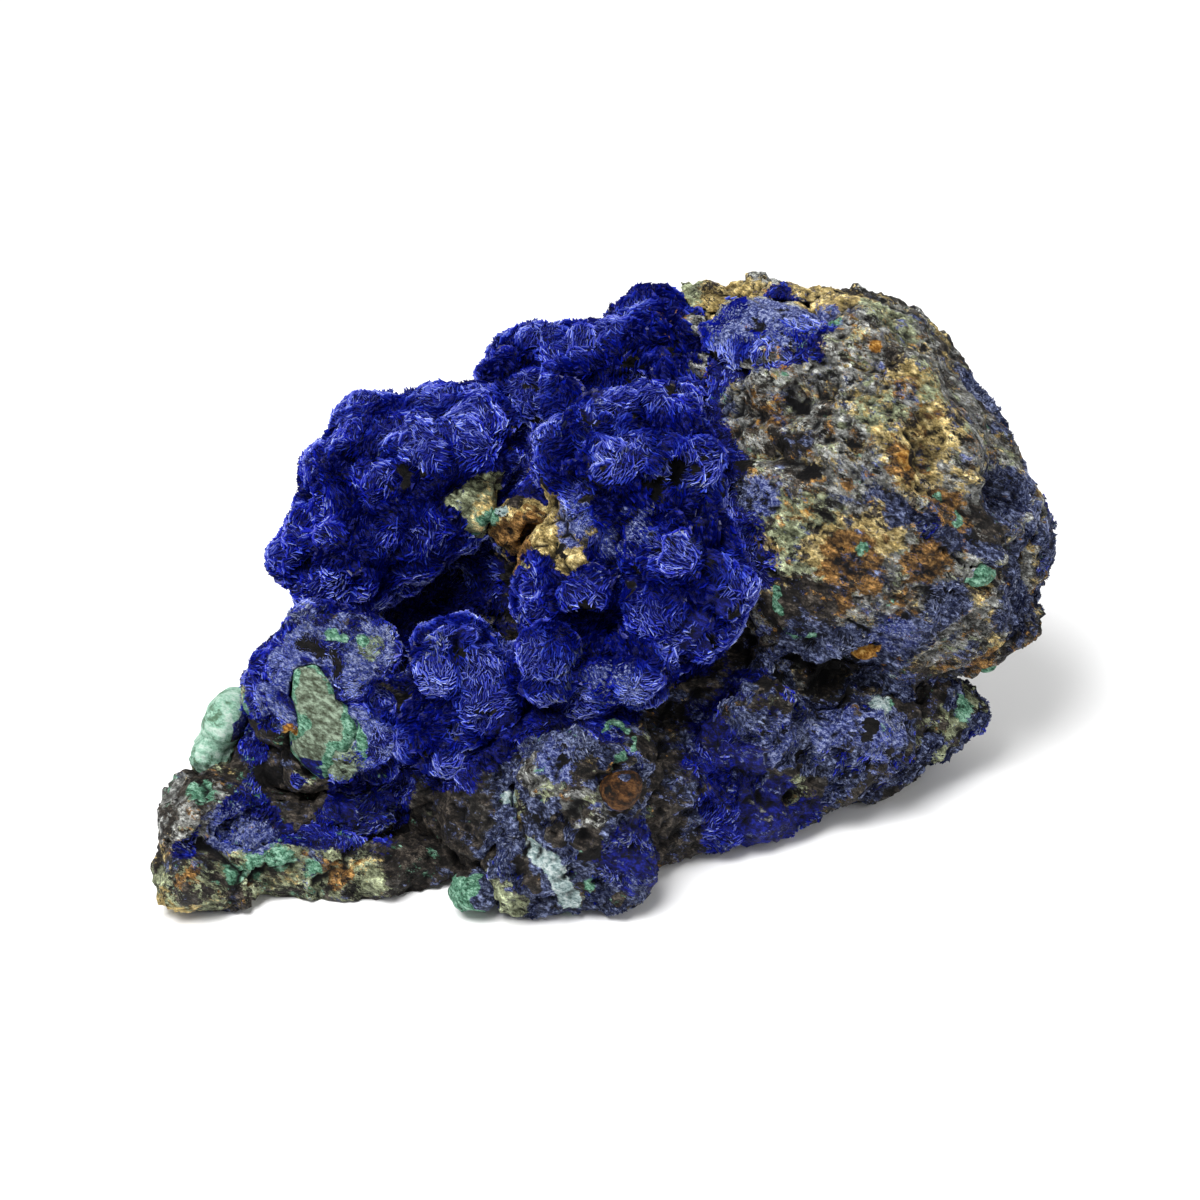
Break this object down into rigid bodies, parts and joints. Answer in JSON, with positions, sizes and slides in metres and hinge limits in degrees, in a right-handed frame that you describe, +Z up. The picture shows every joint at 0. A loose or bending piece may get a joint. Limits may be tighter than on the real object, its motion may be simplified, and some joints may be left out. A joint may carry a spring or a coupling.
{
  "type": "azurite specimen on matrix",
  "caption": "Hand-sized block of iron-stained rock with cushions of deep blue azurite rosettes, a broken lobe with a green core, and spots of malachite and limonite.",
  "frame": {"origin": "middle of the footprint box, at the level the specimen stands on", "axes": "+X to the right along the specimen, from the tapering tail to the boulder; +Y to the back; +Z up; the azurite cushions face -Y"},
  "size_m": [0.1724, 0.104, 0.0944],
  "materials": {
    "matrix": "matte",
    "azurite": "satin",
    "malachite": "matte",
    "limonite": "matte"
  },
  "bodies": {
    "root": {"matrix": "matrix", "azurite_dome": "azurite", "azurite_ridge": "azurite", "azurite_front_cluster": "azurite", "azurite_broken_lobe": "azurite", "azurite_bench": "azurite", "azurite_foot": "azurite", "azurite_tail_crust": "azurite", "azurite_edge_crust": "azurite", "azurite_crown_patch": "azurite", "lobe_core": "malachite", "malachite_slab": "malachite", "malachite_nodule": "malachite", "malachite_splinter": "malachite", "malachite_curl": "malachite", "limonite_nodule": "limonite", "limonite_grain": "limonite"}
  },
  "joints": []
}
